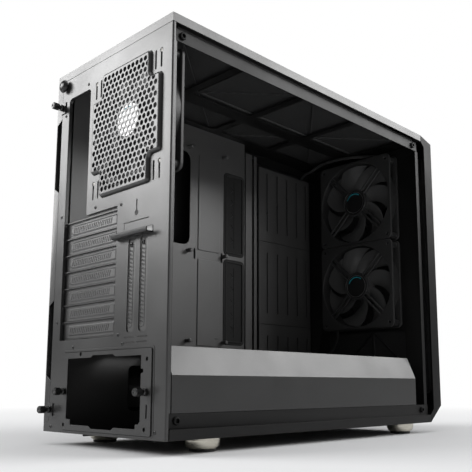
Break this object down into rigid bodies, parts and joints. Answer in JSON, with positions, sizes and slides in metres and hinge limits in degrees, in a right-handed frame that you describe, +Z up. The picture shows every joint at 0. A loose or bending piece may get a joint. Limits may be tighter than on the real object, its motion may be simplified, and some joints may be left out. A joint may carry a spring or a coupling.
{
  "type": "desktop computer tower",
  "caption": "Steel desktop computer tower with its left side open: fans, motherboard tray, vented slots, power supply shroud, drawn-out filter and lift-off top, front and side panels.",
  "frame": {"origin": "on the surface it stands on, under the middle of its overall box", "axes": "+Z up, +Y towards the rear with its openings and screws, the open side faces -X"},
  "size_m": [0.233, 0.554, 0.465],
  "materials": {
    "chassis_steel": "fine satin powder coat",
    "panel_steel": "fine satin powder coat",
    "tray_steel": "fine satin powder coat",
    "shroud_steel": "fine satin powder coat",
    "moulded_plastic": "fine moulded grain",
    "mesh_plastic": "fine woven mesh",
    "cover_steel": "satin powder coat",
    "rubber": "matte",
    "foot_metal": "turned satin nickel",
    "screw_black": "black zinc",
    "fan_frame": "satin moulded",
    "fan_blades": "satin moulded",
    "lead": "satin jacket"
  },
  "bodies": {
    "chassis": {"rear_panel": "panel_steel", "rear_fan_grille": "panel_steel", "floor_pan": "chassis_steel", "top_frame": "chassis_steel", "front_frame": "chassis_steel", "motherboard_tray": "tray_steel", "cover_plate_upper": "tray_steel", "cover_plate_lower": "tray_steel", "cable_bar": "tray_steel", "drive_cover_lower": "tray_steel", "drive_cover_middle": "tray_steel", "drive_cover_upper": "tray_steel", "psu_shroud": "shroud_steel", "slot_cover_1": "cover_steel", "slot_cover_2": "cover_steel", "slot_cover_3": "cover_steel", "slot_cover_4": "cover_steel", "slot_cover_5": "cover_steel", "slot_cover_6": "cover_steel", "slot_cover_7": "cover_steel", "upright_slot_cover_1": "cover_steel", "upright_slot_cover_2": "cover_steel", "slot_clamp": "moulded_plastic", "fan_hub": "moulded_plastic", "panel_catch_top_rear": "moulded_plastic", "panel_catch_top_front": "moulded_plastic", "panel_catch_bottom_rear": "moulded_plastic", "panel_catch_bottom_front": "moulded_plastic", "grommet_lower": "rubber", "grommet_upper": "rubber", "foot_pad_rear_left": "rubber", "foot_pad_rear_right": "rubber", "foot_pad_front_left": "rubber", "foot_pad_front_right": "rubber", "foot_rear_left": "foot_metal", "foot_rear_right": "foot_metal", "foot_front_left": "foot_metal", "foot_front_right": "foot_metal", "front_fan_upper_frame": "fan_frame", "front_fan_lower_frame": "fan_frame", "rear_fan_frame": "fan_frame", "fan_lead_upper": "lead", "fan_lead_lower": "lead"},
    "top_panel": {"top_panel": "panel_steel", "top_filter": "mesh_plastic"},
    "front_panel": {"front_panel": "moulded_plastic", "front_mesh": "mesh_plastic", "connector_module": "moulded_plastic"},
    "power_button": {"power_button": "foot_metal"},
    "right_side_panel": {"right_side_panel": "panel_steel"},
    "side_thumbscrew_lower": {"side_thumbscrew_lower": "screw_black"},
    "side_thumbscrew_upper": {"side_thumbscrew_upper": "screw_black"},
    "supply_bracket": {"supply_bracket": "panel_steel"},
    "supply_thumbscrew_left": {"supply_thumbscrew_left": "screw_black"},
    "supply_thumbscrew_right": {"supply_thumbscrew_right": "screw_black"},
    "bottom_filter": {"bottom_filter": "moulded_plastic"},
    "release_button": {"release_button": "moulded_plastic"},
    "front_fan_upper_rotor": {"front_fan_upper_rotor": "fan_blades"},
    "front_fan_lower_rotor": {"front_fan_lower_rotor": "fan_blades"},
    "rear_fan_rotor": {"rear_fan_rotor": "fan_blades"}
  },
  "joints": [
    {"name": "top_panel_lift", "type": "slide", "parent": "chassis", "child": "top_panel", "axis": [0, 0, 1], "range_m": [0, 0.1]},
    {"name": "front_panel_pull", "type": "slide", "parent": "chassis", "child": "front_panel", "axis": [0, -1, 0], "range_m": [0, 0.1]},
    {"name": "power_button_press", "type": "slide", "parent": "front_panel", "child": "power_button", "axis": [0, 0.2411, -0.9705], "range_m": [0, 0.0015], "stiffness_N_per_m": 400},
    {"name": "right_side_panel_pull", "type": "slide", "parent": "chassis", "child": "right_side_panel", "axis": [1, 0, 0], "range_m": [0, 0.1]},
    {"name": "side_thumbscrew_lower_turn", "type": "hinge", "parent": "right_side_panel", "child": "side_thumbscrew_lower", "pos_m": [0.1015, 0.2623, 0.041], "axis": [0, 1, 0], "continuous": true},
    {"name": "side_thumbscrew_upper_turn", "type": "hinge", "parent": "right_side_panel", "child": "side_thumbscrew_upper", "pos_m": [0.1015, 0.2623, 0.419], "axis": [0, 1, 0], "continuous": true},
    {"name": "supply_bracket_draw", "type": "slide", "parent": "chassis", "child": "supply_bracket", "axis": [0, 1, 0], "range_m": [0, 0.1]},
    {"name": "supply_thumbscrew_left_turn", "type": "hinge", "parent": "supply_bracket", "child": "supply_thumbscrew_left", "pos_m": [-0.0858, 0.2628, 0.0625], "axis": [0, 1, 0], "continuous": true},
    {"name": "supply_thumbscrew_right_turn", "type": "hinge", "parent": "supply_bracket", "child": "supply_thumbscrew_right", "pos_m": [0.06925, 0.2628, 0.0625], "axis": [0, 1, 0], "continuous": true},
    {"name": "bottom_filter_draw", "type": "slide", "parent": "chassis", "child": "bottom_filter", "axis": [0, -1, 0], "range_m": [0, 0.51]},
    {"name": "release_button_press", "type": "slide", "parent": "chassis", "child": "release_button", "axis": [0, -1, 0], "range_m": [0, 0.002], "stiffness_N_per_m": 600},
    {"name": "front_fan_upper_spin", "type": "hinge", "parent": "chassis", "child": "front_fan_upper_rotor", "pos_m": [-0.0045, -0.23, 0.37], "axis": [0, 1, 0], "continuous": true},
    {"name": "front_fan_lower_spin", "type": "hinge", "parent": "chassis", "child": "front_fan_lower_rotor", "pos_m": [-0.0045, -0.23, 0.2295], "axis": [0, 1, 0], "continuous": true},
    {"name": "rear_fan_spin", "type": "hinge", "parent": "chassis", "child": "rear_fan_rotor", "pos_m": [-0.0356, 0.2467, 0.367], "axis": [0, 1, 0], "continuous": true}
  ]
}
